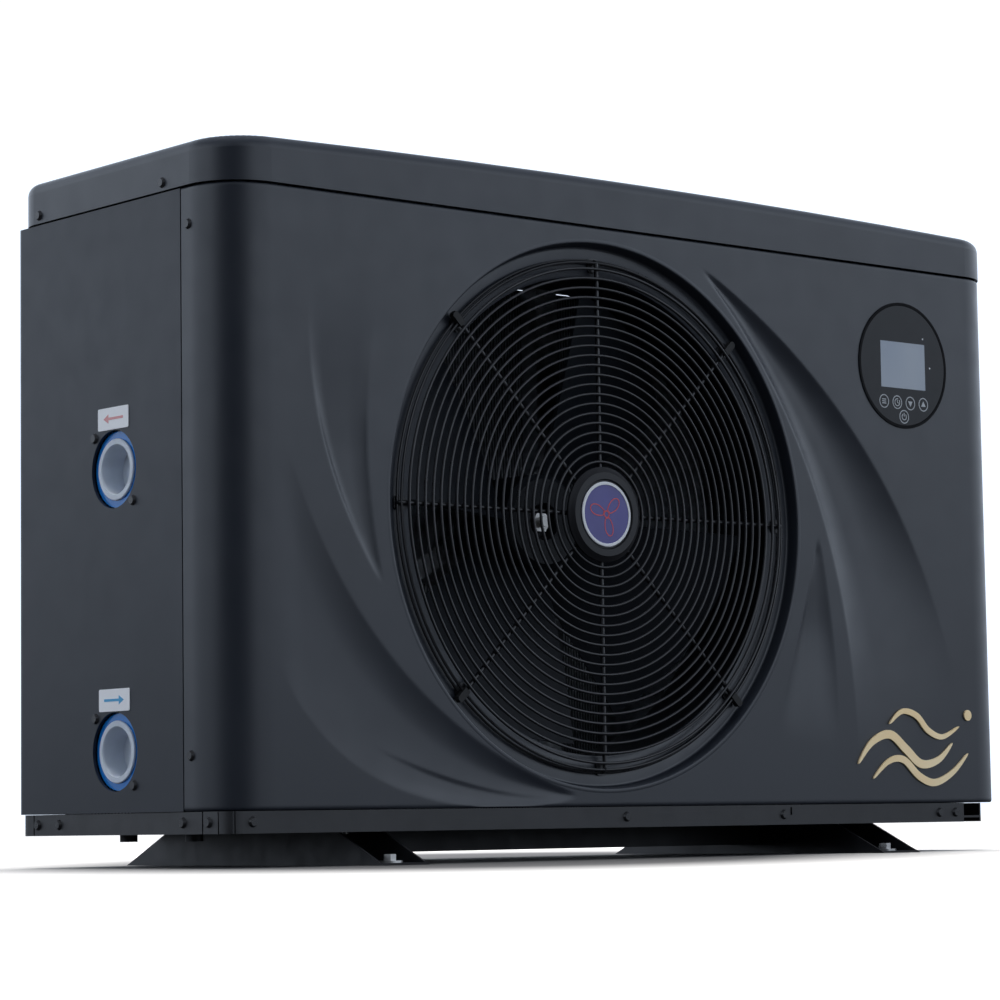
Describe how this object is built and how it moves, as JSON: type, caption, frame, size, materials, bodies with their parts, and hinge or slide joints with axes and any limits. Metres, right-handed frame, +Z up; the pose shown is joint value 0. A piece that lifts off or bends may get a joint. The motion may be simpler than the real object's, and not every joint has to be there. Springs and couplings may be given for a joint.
{
  "type": "pool heat pump",
  "caption": "Outdoor swimming-pool heat pump in a plastic casing, with a guarded axial fan, capped water ports on the left end, a touch controller and two sheet-steel feet.",
  "frame": {"origin": "on the ground under the middle of the unit", "axes": "+Z up, front faces -Y, water ports face -X"},
  "size_m": [0.9538, 0.376, 0.6105],
  "materials": {
    "case_plastic": "fine satin grain",
    "black_steel": "satin powder coat",
    "guard_wire": "semi-gloss black coat",
    "black_plastic": "satin",
    "fan_plastic": "satin",
    "badge_print": "gloss film",
    "emblem_gold": "satin gold",
    "label_print": "matt film",
    "union_blue": "gloss",
    "cap_white": "translucent",
    "lens_black": "gloss",
    "display_glass": "gloss",
    "screw_black": "black zinc",
    "washer_steel": "zinc plated",
    "galvanised": "galvanised",
    "fin_aluminium": "fine fins",
    "copper": "drawn copper",
    "compressor_paint": "black enamel",
    "pvc_grey": "pvc",
    "titanium": "titanium",
    "rubber_black": "matt",
    "board_green": "solder mask"
  },
  "bodies": {
    "casing": {"accumulator": "compressor_paint", "base_pan": "black_steel", "cable_gland": "black_plastic", "casing_screws": "screw_black", "coil_end_plates": "galvanised", "coil_fins": "fin_aluminium", "coil_header": "copper", "coil_return_bends": "copper", "compressor": "compressor_paint", "compressor_base": "compressor_paint", "compressor_bolts": "washer_steel", "compressor_grommets": "rubber_black", "control_bezel": "black_plastic", "control_board": "board_green", "control_display": "display_glass", "control_housing": "black_plastic", "control_lens": "lens_black", "cross_rail": "black_steel", "dividers": "galvanised", "drain_nozzles": "black_plastic", "electrical_box": "galvanised", "exchanger_caps": "pvc_grey", "exchanger_shell": "pvc_grey", "expansion_valve": "copper", "fan_guard_hub": "black_plastic", "fan_guard_rings": "guard_wire", "fan_guard_spokes": "guard_wire", "fan_motor": "galvanised", "fan_shroud": "black_plastic", "flow_sensor": "black_plastic", "foot_bolts": "washer_steel", "four_way_valve": "copper", "front_emblem": "emblem_gold", "front_panel": "case_plastic", "hub_badge": "badge_print", "left_foot": "black_steel", "left_panel": "case_plastic", "lid": "case_plastic", "main_board": "board_green", "motor_bracket": "galvanised", "motor_rails": "galvanised", "port_labels": "label_print", "rear_grille": "black_plastic", "rear_panel": "case_plastic", "rear_posts": "galvanised", "refrigerant_pipes": "copper", "right_foot": "black_steel", "right_panel": "case_plastic", "service_cover": "case_plastic", "terminal_block": "black_plastic", "titanium_coil": "titanium", "toe_bolts": "washer_steel", "top_rail": "galvanised", "water_inlet_union": "union_blue", "water_outlet_union": "union_blue"},
    "fan_wheel": {"fan": "fan_plastic", "fan_nut": "washer_steel", "motor_shaft": "washer_steel"},
    "outlet_cap": {"outlet_transport_cap": "cap_white"},
    "inlet_cap": {"inlet_transport_cap": "cap_white"}
  },
  "joints": [
    {"name": "fan_spin", "type": "hinge", "parent": "casing", "child": "fan_wheel", "pos_m": [-0.06, -0.04, 0.3056], "axis": [0, 1, 0], "continuous": true},
    {"name": "outlet_cap_pull", "type": "slide", "parent": "casing", "child": "outlet_cap", "axis": [-1, 0, 0], "range_m": [0, 0.06]},
    {"name": "inlet_cap_pull", "type": "slide", "parent": "casing", "child": "inlet_cap", "axis": [-1, 0, 0], "range_m": [0, 0.06]}
  ]
}
